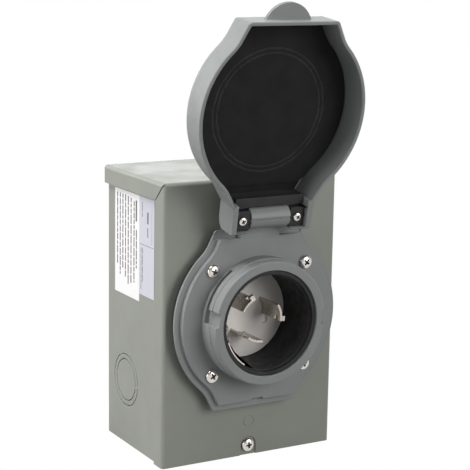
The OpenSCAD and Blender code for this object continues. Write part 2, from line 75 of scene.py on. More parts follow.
CAMERA_PLACE = Vector((-463.6, -875.7, 239.0)) * MM
CAMERA_YAW = math.radians(29.75)
CAMERA_PITCH = math.radians(11.33)
CAMERA_ROLL = math.radians(0.98)
LENS = 113.24
SENSOR = 36
SKY = 0.27
# how bright a reflection sees the surroundings: (from, to, value at from, value at to)
MIRROR_BY_HEIGHT = (0.2, 0.6, 1.0, 0.12)
MIRROR_BY_DEPTH = (0.0, 0.7, 0.7, 2.5)
FLOOR_GREY = 0.82
FLOOR_BOUNCE = 0.12
FLOOR_FADE = (0.03, 0.09, 0.0, 1.0)


def make_camera():
    turn = (
        Matrix.Rotation(CAMERA_ROLL, 3, "Y")
        @ Matrix.Rotation(CAMERA_PITCH, 3, "X")
        @ Matrix.Rotation(CAMERA_YAW, 3, "Z")
    )
    data = bpy.data.cameras.new("camera")
    data.lens = LENS
    data.sensor_width = SENSOR
    data.clip_start = 0.05
    data.clip_end = 50
    camera = bpy.data.objects.new("camera", data)
    bpy.context.scene.collection.objects.link(camera)
    axes = Matrix((turn[0], turn[2], -turn[1])).transposed()
    camera.matrix_world = Matrix.Translation(CAMERA_PLACE) @ axes.to_4x4()
    bpy.context.scene.camera = camera


def softbox(name, direction, distance, size, irradiance):
    """A square lamp aimed at the object. Irradiance 1 lights a facing white surface fully."""
    target = (cad_lo + cad_hi) / 2
    data = bpy.data.lights.new(name, "AREA")
    data.shape = "SQUARE"
    data.size = size
    data.energy = irradiance * (math.pi * distance) ** 2
    lamp = bpy.data.objects.new(name, data)
    bpy.context.scene.collection.objects.link(lamp)
    away = Vector(direction).normalized()
    lamp.location = target + away * distance
    lamp.rotation_mode = "QUATERNION"
    lamp.rotation_quaternion = away.to_track_quat("Z", "Y")


def map_range(tree, value, span):
    """A node that takes span's first two numbers to its last two."""
    node = tree.nodes.new("ShaderNodeMapRange")
    for socket, number in zip(("From Min", "From Max", "To Min", "To Max"), span):
        node.inputs[socket].default_value = number
    tree.links.new(value, node.inputs["Value"])
    return node


def make_world():
    """Soft grey light from all round, with a white backdrop."""
    world = bpy.data.worlds.new("studio")
    bpy.context.scene.world = world
    world.use_nodes = True
    tree = world.node_tree
    tree.nodes.clear()
    out = tree.nodes.new("ShaderNodeOutputWorld")
    mix = tree.nodes.new("ShaderNodeMixShader")
    fill = tree.nodes.new("ShaderNodeBackground")
    fill.inputs["Color"].default_value = (0.93, 0.97, 1.0, 1)
    fill.inputs["Strength"].default_value = SKY
    backdrop = tree.nodes.new("ShaderNodeBackground")
    backdrop.inputs["Color"].default_value = (1, 1, 1, 1)
    backdrop.inputs["Strength"].default_value = 1.0
    # what reflections see: bright low down and behind, darker overhead and in front
    mirrored = tree.nodes.new("ShaderNodeBackground")
    mirrored.inputs["Color"].default_value = (0.97, 0.98, 1.0, 1)
    where = tree.nodes.new("ShaderNodeTexCoord")
    axes = tree.nodes.new("ShaderNodeSeparateXYZ")
    tree.links.new(where.outputs["Generated"], axes.inputs[0])
    low = map_range(tree, axes.outputs["Z"], MIRROR_BY_HEIGHT)
    behind = map_range(tree, axes.outputs["Y"], MIRROR_BY_DEPTH)
    strength = tree.nodes.new("ShaderNodeMath")
    strength.operation = "MULTIPLY"
    tree.links.new(low.outputs[0], strength.inputs[0])
    tree.links.new(behind.outputs[0], strength.inputs[1])
    tree.links.new(strength.outputs[0], mirrored.inputs["Strength"])
    path = tree.nodes.new("ShaderNodeLightPath")
    around = tree.nodes.new("ShaderNodeMixShader")
    tree.links.new(path.outputs["Is Glossy Ray"], around.inputs["Fac"])
    tree.links.new(fill.outputs[0], around.inputs[1])
    tree.links.new(mirrored.outputs[0], around.inputs[2])
    tree.links.new(path.outputs["Is Camera Ray"], mix.inputs["Fac"])
    tree.links.new(around.outputs[0], mix.inputs[1])
    tree.links.new(backdrop.outputs[0], mix.inputs[2])
    tree.links.new(mix.outputs[0], out.inputs["Surface"])


def make_floor():
    """A pale floor that turns white away from the object and throws little light back."""
    bpy.ops.mesh.primitive_circle_add(vertices=96, radius=6, fill_type="NGON")
    floor = bpy.context.object
    floor.name = "floor"
    floor.location.z = cad_lo.z - 0.0002
    m = bpy.data.materials.new("floor")
    m.use_nodes = True
    tree = m.node_tree
    tree.nodes.clear()
    out = tree.nodes.new("ShaderNodeOutputMaterial")
    seen = tree.nodes.new("ShaderNodeMixShader")
    mix = tree.nodes.new("ShaderNodeMixShader")
    pale = tree.nodes.new("ShaderNodeBsdfDiffuse")
    pale.inputs["Color"].default_value = (FLOOR_GREY, FLOOR_GREY, FLOOR_GREY, 1)
    dim = tree.nodes.new("ShaderNodeBsdfDiffuse")
    dim.inputs["Color"].default_value = (FLOOR_BOUNCE, FLOOR_BOUNCE, FLOOR_BOUNCE, 1)
    glow = tree.nodes.new("ShaderNodeEmission")
    where = tree.nodes.new("ShaderNodeTexCoord")
    length = tree.nodes.new("ShaderNodeVectorMath")
    length.operation = "LENGTH"
    path = tree.nodes.new("ShaderNodeLightPath")
    tree.links.new(where.outputs["Object"], length.inputs[0])
    fade = map_range(tree, length.outputs["Value"], FLOOR_FADE)
    fade.interpolation_type = "SMOOTHSTEP"
    tree.links.new(fade.outputs[0], mix.inputs["Fac"])
    tree.links.new(pale.outputs[0], mix.inputs[1])
    tree.links.new(glow.outputs[0], mix.inputs[2])
    mirrored = tree.nodes.new("ShaderNodeMixShader")
    distant = tree.nodes.new("ShaderNodeMath")
    distant.operation = "MULTIPLY"
    tree.links.new(path.outputs["Is Glossy Ray"], distant.inputs[0])
    tree.links.new(fade.outputs[0], distant.inputs[1])
    tree.links.new(distant.outputs[0], mirrored.inputs["Fac"])
    tree.links.new(dim.outputs[0], mirrored.inputs[1])
    tree.links.new(glow.outputs[0], mirrored.inputs[2])
    tree.links.new(path.outputs["Is Camera Ray"], seen.inputs["Fac"])
    tree.links.new(mirrored.outputs[0], seen.inputs[1])
    tree.links.new(mix.outputs[0], seen.inputs[2])
    tree.links.new(seen.outputs[0], out.inputs["Surface"])
    floor.data.materials.append(m)


make_camera()
make_world()
make_floor()
softbox("key", (-0.34, 0.02, 0.94), 1.5, 1.0, 1.45)
softbox("left", (-1.0, 0.02, -0.02), 0.8, 0.5, 0.72)
softbox("front", (0.45, -0.85, 0.28), 1.8, 1.1, 0.55)


# ---- materials ---------------------------------------------------------------

# noise keeps mostly between these values
NOISE_SPAN = (0.35, 0.65)


class Surface:
    """A principled material with its textures in object space."""

    def __init__(self, name, roughness, metallic=0.0, specular=0.5):
        self.material = bpy.data.materials.new(name)
        self.material.use_nodes = True
        self.tree = self.material.node_tree
        self.shader = self.tree.nodes["Principled BSDF"]
        self.shader.inputs["Roughness"].default_value = roughness
        self.shader.inputs["Metallic"].default_value = metallic
        self.shader.inputs["Specular IOR Level"].default_value = specular
        self.where = self.tree.nodes.new("ShaderNodeTexCoord").outputs["Object"]
        self.bumped = None

    def link(self, source, target):
        self.tree.links.new(source, target)

    def stretched(self, scale):
        node = self.tree.nodes.new("ShaderNodeMapping")
        node.inputs["Scale"].default_value = scale
        self.link(self.where, node.inputs["Vector"])
        return node.outputs[0]

    def noise(self, size, detail=2.0, where=None):
        """Cloudy values, with lumps of about the given size in metres."""
        node = self.tree.nodes.new("ShaderNodeTexNoise")
        node.inputs["Scale"].default_value = 1 / size
        node.inputs["Detail"].default_value = detail
        self.link(where or self.where, node.inputs["Vector"])
        return node.outputs["Fac"]

    def cells(self, size):
        node = self.tree.nodes.new("ShaderNodeTexVoronoi")
        node.inputs["Scale"].default_value = 1 / size
        self.link(self.where, node.inputs["Vector"])
        return node.outputs["Distance"]

    def colour(self, value, stops):
        """Base colour that runs through the stops, a list of (place, linear colour)."""
        node = self.tree.nodes.new("ShaderNodeValToRGB")
        elements = node.color_ramp.elements
        while len(elements) < len(stops):
            elements.new(0.5)
        for element, (place, colour) in zip(elements, stops):
            element.position = place
            element.color = (*colour, 1)
        self.link(value, node.inputs["Fac"])
        self.link(node.outputs["Color"], self.shader.inputs["Base Color"])

    def vary_roughness(self, value, low, high):
        node = map_range(self.tree, value, (*NOISE_SPAN, low, high))
        self.link(node.outputs[0], self.shader.inputs["Roughness"])

    def bump(self, height, depth, strength):
        """Adds relief of the given depth in metres."""
        node = self.tree.nodes.new("ShaderNodeBump")
        node.inputs["Distance"].default_value = depth
        node.inputs["Strength"].default_value = strength
        self.link(height, node.inputs["Height"])
        if self.bumped:
            self.link(self.bumped, node.inputs["Normal"])
        self.bumped = node.outputs["Normal"]
        self.link(self.bumped, self.shader.inputs["Normal"])


def shade(colour, factor):
    return tuple(min(1.0, c * factor) for c in colour)


def box_paint():
    s = Surface("box_paint", 0.42, specular=0.45)
    base = (0.238, 0.246, 0.214)
    s.colour(s.noise(0.035, 3), [(0.3, shade(base, 0.96)), (0.7, shade(base, 1.05))])
    s.vary_roughness(s.noise(0.02), 0.36, 0.48)
    s.bump(s.noise(0.0022, 1), 0.00006, 0.35)
    s.bump(s.noise(0.0005, 1), 0.00001, 0.5)
    return s.material


def moulded_grey(name, base):
    s = Surface(name, 0.45, specular=0.4)
    s.colour(s.noise(0.025, 3), [(0.3, shade(base, 0.94)), (0.7, shade(base, 1.05))])
    s.vary_roughness(s.noise(0.006), 0.42, 0.54)
    s.bump(s.noise(0.00045, 2), 0.00003, 0.5)
    return s.material


def black_nylon():
    s = Surface("black_nylon", 0.5, specular=0.25)
    base = (0.011, 0.011, 0.012)
    s.colour(s.noise(0.01, 3), [(0.3, base), (0.7, shade(base, 1.7))])
    s.vary_roughness(s.noise(0.004), 0.42, 0.6)
    s.bump(s.noise(0.0005, 2), 0.00003, 0.5)
    return s.material


def dark_plastic():
    s = Surface("dark_plastic", 0.5, specular=0.25)
    base = (0.024, 0.023, 0.025)
    s.colour(s.noise(0.008, 3), [(0.3, shade(base, 0.85)), (0.7, shade(base, 1.2))])
    s.vary_roughness(s.noise(0.003), 0.45, 0.6)
    s.bump(s.noise(0.0004, 2), 0.00003, 0.6)
    return s.material


def face_plastic():
    s = Surface("face_plastic", 0.38, specular=0.5)
    base = (0.78, 0.74, 0.70)
    s.colour(s.noise(0.012, 4), [(0.3, shade(base, 0.92)), (0.7, shade(base, 1.05))])
    s.vary_roughness(s.noise(0.005), 0.32, 0.45)
    s.bump(s.noise(0.0006, 2), 0.00002, 0.4)
    return s.material


def pad_rubber(name, base):
    s = Surface(name, 0.85, specular=0.18)
    s.colour(s.noise(0.012, 4), [(0.3, base), (0.7, shade(base, 1.5))])
    s.shader.inputs["Sheen Weight"].default_value = 0.06
    s.shader.inputs["Sheen Roughness"].default_value = 0.5
    s.bump(s.cells(0.0007), 0.00008, 0.5)
    s.bump(s.noise(0.006, 3), 0.0002, 0.3)
    return s.material


def gasket_rubber():
    s = Surface("gasket_rubber", 0.8, specular=0.2)
    base = (0.02, 0.02, 0.02)
    s.colour(s.noise(0.004, 3), [(0.3, base), (0.7, shade(base, 1.6))])
    s.bump(s.noise(0.0004, 2), 0.00004, 0.6)
    return s.material


def metal(name, base, roughness, scratch=(1, 1, 1)):
    """Bare metal. Scratch stretches its fine relief along an axis."""
    s = Surface(name, roughness, metallic=1.0)
    s.colour(s.noise(0.003, 3), [(0.3, shade(base, 0.88)), (0.7, shade(base, 1.04))])
    s.vary_roughness(s.noise(0.0015), roughness - 0.04, roughness + 0.08)
    s.bump(s.noise(0.0009, 2, s.stretched(scratch)), 0.000015, 0.35)
    return s.material


def film_label(name, base):
    s = Surface(name, 0.35, specular=0.45)
    s.colour(s.noise(0.01, 3), [(0.3, shade(base, 0.97)), (0.7, base)])
    s.vary_roughness(s.noise(0.004), 0.3, 0.42)
    s.bump(s.noise(0.008, 2), 0.00005, 0.3)
    return s.material


def ink(name, base):
    s = Surface(name, 0.5, specular=0.3)
    s.colour(s.noise(0.0008, 2), [(0.3, shade(base, 0.8)), (0.7, shade(base, 1.25))])
    return s.material


FLANGE_GREY = (0.228, 0.236, 0.233)
materials = {
    "box_paint": box_paint(),
    "flange_plastic": moulded_grey("flange_plastic", FLANGE_GREY),
    "black_nylon": black_nylon(),
    "dark_plastic": dark_plastic(),
    "face_plastic": face_plastic(),
    "pad_rubber": pad_rubber("pad_rubber", (0.0125, 0.0115, 0.012)),
    "gasket_rubber": gasket_rubber(),
    "nickel": metal("nickel", (0.66, 0.62, 0.58), 0.17),
    "aluminium": metal("aluminium", (0.8, 0.8, 0.8), 0.35, (1, 1, 0.1)),
    "green_steel": metal("green_steel", (0.08, 0.42, 0.13), 0.35),
    "brass": metal("brass", (0.76, 0.56, 0.27), 0.3, (0.2, 1, 1)),
    "white_label": film_label("white_label", (0.86, 0.84, 0.84)),
    "grey_label": film_label("grey_label", (0.56, 0.56, 0.62)),
}
# nearly black metal for the faces inside the screws' cross recesses: painted shade
recess_painted_shade_metal = metal("screw_recess_painted_shade", (0.09, 0.08, 0.075), 0.4)
# a darker copy of the nickel for the contact blades: painted shade for the dark barrel that they reflect
blade_metal_painted_shade = metal("blade_metal_painted_shade", (0.5, 0.46, 0.41), 0.2)
# a lighter copy of the pad rubber for the faces along the collar's ring marks: painted highlight
ring_painted_highlight_rubber = pad_rubber("pad_ring_painted_highlight", (0.027, 0.0255, 0.026))


# ---- mesh helpers ------------------------------------------------------------

def smooth_edges(obj, width, angle=32, dissolve=False):
    """Rounds the sharp edges by width and shades the rest smooth."""
    weld = obj.modifiers.new("weld", "WELD")
    weld.merge_threshold = 2e-6
    if dissolve:
        flat = obj.modifiers.new("flat", "DECIMATE")
        flat.decimate_type = "DISSOLVE"
        flat.angle_limit = math.radians(0.4)
    bevel = obj.modifiers.new("bevel", "BEVEL")
    bevel.width = width
    bevel.segments = 2
    bevel.limit_method = "ANGLE"
    bevel.angle_limit = math.radians(angle)
    bevel.use_clamp_overlap = False
    bevel.harden_normals = False
    bevel.miter_outer = "MITER_ARC"
    normals = obj.modifiers.new("normals", "WEIGHTED_NORMAL")
    normals.mode = "FACE_AREA_WITH_ANGLE"
    normals.keep_sharp = False
    for polygon in obj.data.polygons:
        polygon.use_smooth = True


def new_object(name, bm, slots):
    mesh = bpy.data.meshes.new(name)
    bmesh.ops.recalc_face_normals(bm, faces=bm.faces)
    bm.to_mesh(mesh)
    bm.free()
    for slot in slots:
        mesh.materials.append(slot)
    obj = bpy.data.objects.new(name, mesh)
    bpy.context.scene.collection.objects.link(obj)
    return obj


def add_loft(bm, rings):
    """Joins rings of points by faces, with a flat face at both ends."""
    rows = [[bm.verts.new(p) for p in ring] for ring in rings]
    for a, b in zip(rows, rows[1:]):
        n = len(a)
        for k in range(n):
            bm.faces.new((a[k], a[(k + 1) % n], b[(k + 1) % n], b[k]))
    bm.faces.new(list(reversed(rows[0])))
    bm.faces.new(rows[-1])


def add_block(bm, lo, hi):
    rows = [
        [(lo[0], lo[1], z), (hi[0], lo[1], z), (hi[0], hi[1], z), (lo[0], hi[1], z)]
        for z in (lo[2], hi[2])
    ]
    add_loft(bm, rows)


def carve(obj, tool_mesh, operation):
    """Adds the bmesh's solid to the object, or takes it away, for good."""
    tool = new_object("tool", tool_mesh, [])
    step = obj.modifiers.new("carve", "BOOLEAN")
    step.operation = operation
    step.solver = "EXACT"
    step.use_self = True
    step.object = tool
    depsgraph = bpy.context.evaluated_depsgraph_get()
    result = bpy.data.meshes.new_from_object(obj.evaluated_get(depsgraph))
    obj.modifiers.clear()
    obj.data = result
    bpy.data.objects.remove(tool)


def tidy_mesh(obj):
    """Joins the scraps that the cuts leave, and merges flat faces."""
    bm = bmesh.new()
    bm.from_mesh(obj.data)
    bmesh.ops.remove_doubles(bm, verts=bm.verts, dist=0.03 * MM)
    bmesh.ops.dissolve_limit(
        bm, angle_limit=math.radians(0.6), verts=bm.verts, edges=bm.edges
    )
    # faces that wind round an opening are cut up, so that they can't close over it
    winding = [face for face in bm.faces if len(face.verts) > 40]
    bmesh.ops.triangulate(bm, faces=winding)
    bmesh.ops.recalc_face_normals(bm, faces=bm.faces)
    bm.to_mesh(obj.data)
    bm.free()


def place(obj, body, slot, *replaced):
    """Gives a new piece its body and hides the CAD nodes that it stands for. The slot is not used."""
    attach(obj, body)
    if replaced:
        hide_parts(*replaced)


# ---- outline of the lid --------------------------------------------------------

ROUND_R = 58 * MM
WAIST_R = 25 * MM
CORNER_R = 3 * MM
# a flat end of the lid: half its width, its height over the axis, the slope of its sides
HINGE_END = (28.4 * MM, 58 * MM, math.radians(32))
FREE_END = (31 * MM, 57.8 * MM, math.radians(27))


def arc(centre, r, start, end, count):
    """Points from the start angle to the end angle, both included."""
    return [
        centre + r * Vector((math.cos(a), math.sin(a)))
        for a in (start + (end - start) * k / count for k in range(count + 1))
    ]


def waist_centre(end, inset):
    """Centre of the hollow arc between the round and an end's straight side."""
    half, out, slope = end
    n = Vector((math.cos(slope), math.sin(slope)))
    k = half * n.x + out * n.y - inset
    r = ROUND_R - inset
    w = WAIST_R + inset
    side = math.sqrt((r + w) ** 2 - (k + w) ** 2)
    return (k + w) * n - side * Vector((n.y, -n.x))


def end_side(end, inset):
    """Right-hand side of a flat end, from the circle up to the end."""
    half, out, slope = end
    n = Vector((math.cos(slope), math.sin(slope)))
    k = half * n.x + out * n.y - inset
    corner = max(CORNER_R - inset, 0.6 * MM)
    top = out - inset
    f = waist_centre(end, inset)
    g = Vector(((k - corner - (top - corner) * n.y) / n.x, top - corner))
    from_circle = math.pi + math.atan2(f.y, f.x)
    return arc(f, WAIST_R + inset, from_circle, math.pi + slope, 10) + arc(
        g, corner, slope, math.pi / 2, 6
    )


def shield(inset):
    """The lid's outline, set in: (x, height over the inlet's axis), hinge end up."""
    up = waist_centre(HINGE_END, inset)
    down = waist_centre(FREE_END, inset)
    low = [Vector((p.x, -p.y)) for p in reversed(end_side(FREE_END, inset))]
    side = arc(
        Vector((0, 0)),
        ROUND_R - inset,
        -math.atan2(down.y, down.x),
        math.atan2(up.y, up.x),
        28,
    )
    right = low + side[1:-1] + end_side(HINGE_END, inset)
    return right + [Vector((-p.x, p.y)) for p in reversed(right)]


# ---- lid shell -----------------------------------------------------------------

OPEN_ANGLE = math.radians(-170)
opened = (
    Matrix.Translation(hinge_axis)
    @ Matrix.Rotation(OPEN_ANGLE, 4, "X")
    @ Matrix.Translation(-hinge_axis)
)
LID_RIM_Y = -93.8 * MM
LID_FLOOR_Y = -114.4 * MM
LID_FACE_Y = -116.8 * MM
LID_WALL = 2.4 * MM
LID_DRAFT = 0.9 * MM
BACK_ROUND = 6.5 * MM
ARM_IN = 14.4 * MM
ARM_OUT = 28.4 * MM
BLOCK_OUT = 24.7 * MM
HEEL_R = 8.6 * MM
HEEL_CORNER = 7.6 * MM
HEEL_START = math.pi / 2 + 0.49
TOE_CUT = 0.6 * MM
BAR_LOW = 56.7 * MM
BAR_THICK = 2.6 * MM
BAR_HIGH = 63.1 * MM
BAR_FRONT_Y = -99.2 * MM
ARM_FLOOR_Y = hinge_axis.y - 4.7 * MM
BLOCK_HALF = 6.3 * MM
TAB_Y = -101.8 * MM
TAB_T = 2.6 * MM
TAB_HALF = 15.5 * MM
TAB_OUT = 9.9 * MM
TAB_ROOT = 1.2 * MM
CUT_PAST = 10 * MM


def outline_ring(inset, y):
    return [(p.x, y, inlet_z + p.y) for p in shield(inset)]


def lid_tray():
    """The drafted tray with its rounded back edge, as outlines at (inset, y)."""
    outside = [
        (0.5 * MM, LID_RIM_Y),
        (0.15 * MM, LID_RIM_Y - 0.15 * MM),
        (0, LID_RIM_Y - 0.5 * MM),
    ]
    start = LID_FACE_Y + BACK_ROUND
    steps = 9
    outside += [
        (
            LID_DRAFT + BACK_ROUND * (1 - math.cos(a)),
            start - BACK_ROUND * math.sin(a),
        )
        for a in (math.pi / 2 * k / steps for k in range(steps + 1))
    ]
    inside = [
        (3.6 * MM, LID_FLOOR_Y),
        (3.0 * MM, LID_FLOOR_Y + 0.2 * MM),
        (2.8 * MM, LID_FLOOR_Y + 0.8 * MM),
        (LID_WALL, LID_RIM_Y - 0.5 * MM),
        (LID_WALL - 0.15 * MM, LID_RIM_Y - 0.15 * MM),
        (LID_WALL - 0.5 * MM, LID_RIM_Y),
    ]
    profile = list(reversed(outside)) + list(reversed(inside))
    bm = bmesh.new()
    add_loft(bm, [outline_ring(i, y) for i, y in profile])
    return new_object("lid_shell_detailed", bm, [materials["flange_plastic"]])


def lid_arms():
    """Two arms that reach round the hinge: straight front and top, square toe, round heel."""
    bm = bmesh.new()
    foot = inlet_z + HINGE_END[1] - LID_WALL
    outline = [
        (LID_RIM_Y, foot),
        (LID_RIM_Y, hinge_axis.z + HEEL_CORNER - TOE_CUT),
        (LID_RIM_Y - TOE_CUT, hinge_axis.z + HEEL_CORNER),
    ]
    middle = Vector((hinge_axis.y, hinge_axis.z))
    outline += [tuple(p) for p in arc(middle, HEEL_R, HEEL_START, math.pi, 20)]
    outline += [(hinge_axis.y - HEEL_R, foot)]
    for side in (-1, 1):
        add_loft(
            bm,
            [[(side * x, y, z) for y, z in outline] for x in (ARM_IN, ARM_OUT)],
        )
    bmesh.ops.recalc_face_normals(bm, faces=bm.faces)
    return bm


def finger_tab():
    """A thin segment of a disc that stands out of the free end."""
    bm = bmesh.new()
    r = (TAB_HALF**2 + TAB_OUT**2) / (2 * TAB_OUT)
    root = inlet_z - FREE_END[1] + TAB_ROOT
    centre = inlet_z - FREE_END[1] - TAB_OUT + r
    reach = math.acos((centre - root) / r)
    points = [
        (r * math.sin(a), centre - r * math.cos(a))
        for a in (reach * (k / 20 - 1) for k in range(41))
    ]
    add_loft(bm, [[(x, y, z) for x, z in points] for y in (TAB_Y - TAB_T, TAB_Y)])
    bmesh.ops.recalc_face_normals(bm, faces=bm.faces)
    return bm


def knuckle_room():
    """The gap between the arms."""
    bm = bmesh.new()
    add_block(
        bm,
        (-ARM_IN, hinge_axis.y - HEEL_R - CUT_PAST, BAR_HIGH),
        (ARM_IN, LID_RIM_Y + CUT_PAST, hinge_axis.z + 2 * CUT_PAST),
    )
    return bm


def bar_seat():
    """The step that the pad's bar sits on."""
    bm = bmesh.new()
    add_block(
        bm,
        (-BLOCK_OUT, BAR_FRONT_Y - BAR_THICK, BAR_LOW),
        (BLOCK_OUT, LID_RIM_Y + CUT_PAST, hinge_axis.z),
    )
    return bm


def block_pockets():
    """The pockets in the arms that hold the hinge blocks."""
    bm = bmesh.new()
    gap = 0.1 * MM
    for side in (-1, 1):
        x0, x1 = sorted((side * (ARM_IN - 1 * MM), side * (BLOCK_OUT + gap)))
        add_block(
            bm,
            (x0, ARM_FLOOR_Y, hinge_axis.z - BLOCK_HALF - gap),
            (x1, LID_RIM_Y + CUT_PAST, hinge_axis.z + BLOCK_HALF + gap),
        )
    return bm


def make_lid_shell():
    lid = lid_tray()
    carve(lid, lid_arms(), "UNION")
    carve(lid, finger_tab(), "UNION")
    carve(lid, knuckle_room(), "DIFFERENCE")
    carve(lid, bar_seat(), "DIFFERENCE")
    carve(lid, block_pockets(), "DIFFERENCE")
    tidy_mesh(lid)
    lid.data.transform(opened)
    smooth_edges(lid, 0.35 * MM, 35)
    place(lid, "lid", "flange_plastic", "lid_shell")


make_lid_shell()


# ---- lid pad -------------------------------------------------------------------

PAD_BACK_Y = LID_FLOOR_Y + 0.05 * MM
PAD_TOP_Y = -112.4 * MM
PAD_ROUND = 1.4 * MM
PAD_END = 50 * MM
PAD_INSET = LID_WALL + 0.6 * MM
PAD_RINGS = 96
SHEET_T = 0.5 * MM
# the turned-up edge, black rubber standing as painted shade between the pad and the bar: its height over the axis,
# how far forward it comes, its thickness
EDGE_HIGH = 54.4 * MM
EDGE_Y = -102.0 * MM
EDGE_T = 0.7 * MM
RING_R = (36.0 * MM, 38.9 * MM)
RING_HIGH = 1.5 * MM
RING_DEEP = 0.3 * MM
RING_HALF = 0.6 * MM
BETWEEN_DEEP = 0.12 * MM
# half width of the band along each ring mark that takes the painted highlight
RING_HIGHLIGHT_HALF = 0.5 * MM


def pad_relief(p):
    """Depth of the collar's print in the foam at a point from the inlet's axis."""
    r = (p - Vector((0, RING_HIGH))).length
    depth = 0.0
    for ring in RING_R:
        depth += RING_DEEP * math.exp(-(((r - ring) / RING_HALF) ** 2))
    between = (r - RING_R[0]) / (RING_R[1] - RING_R[0])
    if 0 < between < 1:
        depth += BETWEEN_DEEP * math.sin(math.pi * between)
    return depth


def pad_outline():
    """The lid's outline, set in and cut off at the hinge end, in short even steps."""
    points = []
    for p in shield(PAD_INSET):
        points.append(Vector((p.x, min(p.y, PAD_END))))
    fine = []
    for a, b in zip(points, points[1:] + points[:1]):
        n = max(1, round((b - a).length / (1.6 * MM)))
        fine += [a.lerp(b, k / n) for k in range(n)]
    return [p for k, p in enumerate(fine) if (p - fine[k - 1]).length > 0.05 * MM]


def make_lid_pad():
    rim = pad_outline()
    bm = bmesh.new()
    # side and rounded edge
    rings = [[(p.x, PAD_BACK_Y, inlet_z + p.y) for p in rim]]
    for k in range(6):
        a = math.pi / 2 * k / 5
        back = PAD_ROUND * (1 - math.cos(a))
        y = PAD_TOP_Y - PAD_ROUND * (1 - math.sin(a))
        ring = []
        for p in rim:
            q = p * (1 - back / p.length)
            ring.append((q.x, y, inlet_z + q.y))
        rings.append(ring)
    # top, in rings that shrink to the middle
    for k in range(1, PAD_RINGS):
        ring = []
        for p in rim:
            q = p * ((1 - PAD_ROUND / p.length) * (1 - k / PAD_RINGS))
            ring.append((q.x, PAD_TOP_Y - pad_relief(q), inlet_z + q.y))
        rings.append(ring)
    add_loft(bm, rings)
    cushion = len(bm.faces)
    # the thin sheet beside the foam, and its edge turned up along the hinge end: black rubber laid where the lid's
    # hinge end is in shade, as painted shade
    sheet_y = PAD_BACK_Y + SHEET_T
    wide, wide_z = 29 * MM, PAD_END - 0.8 * MM
    narrow, narrow_z = 25.9 * MM, EDGE_HIGH + EDGE_T
    sheet = [(wide, wide_z), (narrow, narrow_z), (-narrow, narrow_z), (-wide, wide_z)]
    add_loft(bm, [[(x, y, inlet_z + z) for x, z in sheet] for y in (PAD_BACK_Y, sheet_y)])
    add_block(
        bm,
        (-narrow, sheet_y, inlet_z + EDGE_HIGH),
        (narrow, EDGE_Y, inlet_z + narrow_z),
    )
    pad = new_object("lid_pad_foam", bm, [materials["pad_rubber"], ring_painted_highlight_rubber])
    # faces along the collar's ring marks take the lighter rubber, a painted highlight
    for polygon in pad.data.polygons:
        c = polygon.center
        r = Vector((c.x, c.z - inlet_z - RING_HIGH)).length
        if c.y < PAD_TOP_Y and min(abs(r - ring) for ring in RING_R) < RING_HIGHLIGHT_HALF:
            polygon.material_index = 1
    pad.data.transform(opened)
    for polygon in pad.data.polygons:
        polygon.use_smooth = polygon.index < cushion and len(polygon.vertices) == 4
    place(pad, "lid", "pad_rubber", "lid_pad")


make_lid_pad()


# ---- screws ----------------------------------------------------------------------

HEAD_R = 4.3 * MM
HEAD_HIGH = 2.7 * MM
HEAD_WALL = 0.42
BIG_RECESS = (2.5 * MM, 1.15 * MM, 1.8 * MM)
SMALL_RECESS = (1.7 * MM, 0.85 * MM, 1.2 * MM)
RECESS_LEAD = 0.3 * MM
RECESS_TAPER = 0.45
BLOCK_RECESS = 3.2 * MM


def add_screw(bm, at, turn, r, height, shank_r, length, fillet):
    """A domed screw, drawn along +Z and turned so that its head faces turn's Z."""
    count = 48
    wall = height * HEAD_WALL
    profile = [
        (shank_r, -length),
        (shank_r, 0),
        (r - fillet, 0),
        (r, fillet),
        (r, wall),
    ]
    steps = 7
    for k in range(1, steps):
        a = math.pi / 2 * k / steps
        profile.append((r * math.cos(a), wall + (height - wall) * math.sin(a)))
    profile.append((0.12 * r, height))
    rings = [
        [
            turn @ Vector((pr * math.cos(a), pr * math.sin(a), pz)) + at
            for a in (2 * math.pi * k / count for k in range(count))
        ]
        for pr, pz in profile
    ]
    add_loft(bm, rings)


def add_cross(bm, at, turn, half, width, top, depth):
    """The tapered cross that cuts a screw's recess."""
    for long_x in (True, False):
        rows = []
        for z, grow in ((top - depth, RECESS_TAPER), (top + RECESS_LEAD, 1.0)):
            a, b = (half * grow, width / 2) if long_x else (width / 2, half * grow)
            rows.append(
                [
                    turn @ Vector((x, y, z)) + at
                    for x, y in ((-a, -b), (a, -b), (a, b), (-a, b))
                ]
            )
        add_loft(bm, rows)


def make_screws(name, node, body, places, sizes, recess):
    """One piece for a group of screws: places are (head's seat, direction out, spin),
    sizes are (head radius, head height, shank radius, shank length, fillet) and recess is
    (half length, width, depth)."""
    r, height, shank_r, length, fillet = sizes
    half, width, depth = recess
    bm = bmesh.new()
    cut = bmesh.new()
    for at, out, spin in places:
        turn = out.to_track_quat("Z", "Y").to_matrix() @ Matrix.Rotation(spin, 3, "Z")
        add_screw(bm, at, turn, r, height, shank_r, length, fillet)
        add_cross(cut, at, turn, half, width, height, depth)
    screws = new_object(name, bm, [materials["nickel"], recess_painted_shade_metal])
    carve(screws, cut, "DIFFERENCE")
    wall = height * HEAD_WALL
    # faces inside each cross recess take the dark metal, as painted shade
    for polygon in screws.data.polygons:
        polygon.material_index = 0
        for at, out, spin in places:
            up = (polygon.center - at).dot(out)
            across = (polygon.center - at - up * out).length
            if across < half * 1.05 and up > 0:
                dome = wall + (height - wall) * math.sqrt(1 - (across / r) ** 2)
                if up < dome - 0.12 * MM:
                    polygon.material_index = 1
    smooth_edges(screws, 0.07 * MM, 38)
    place(screws, body, "nickel", node)


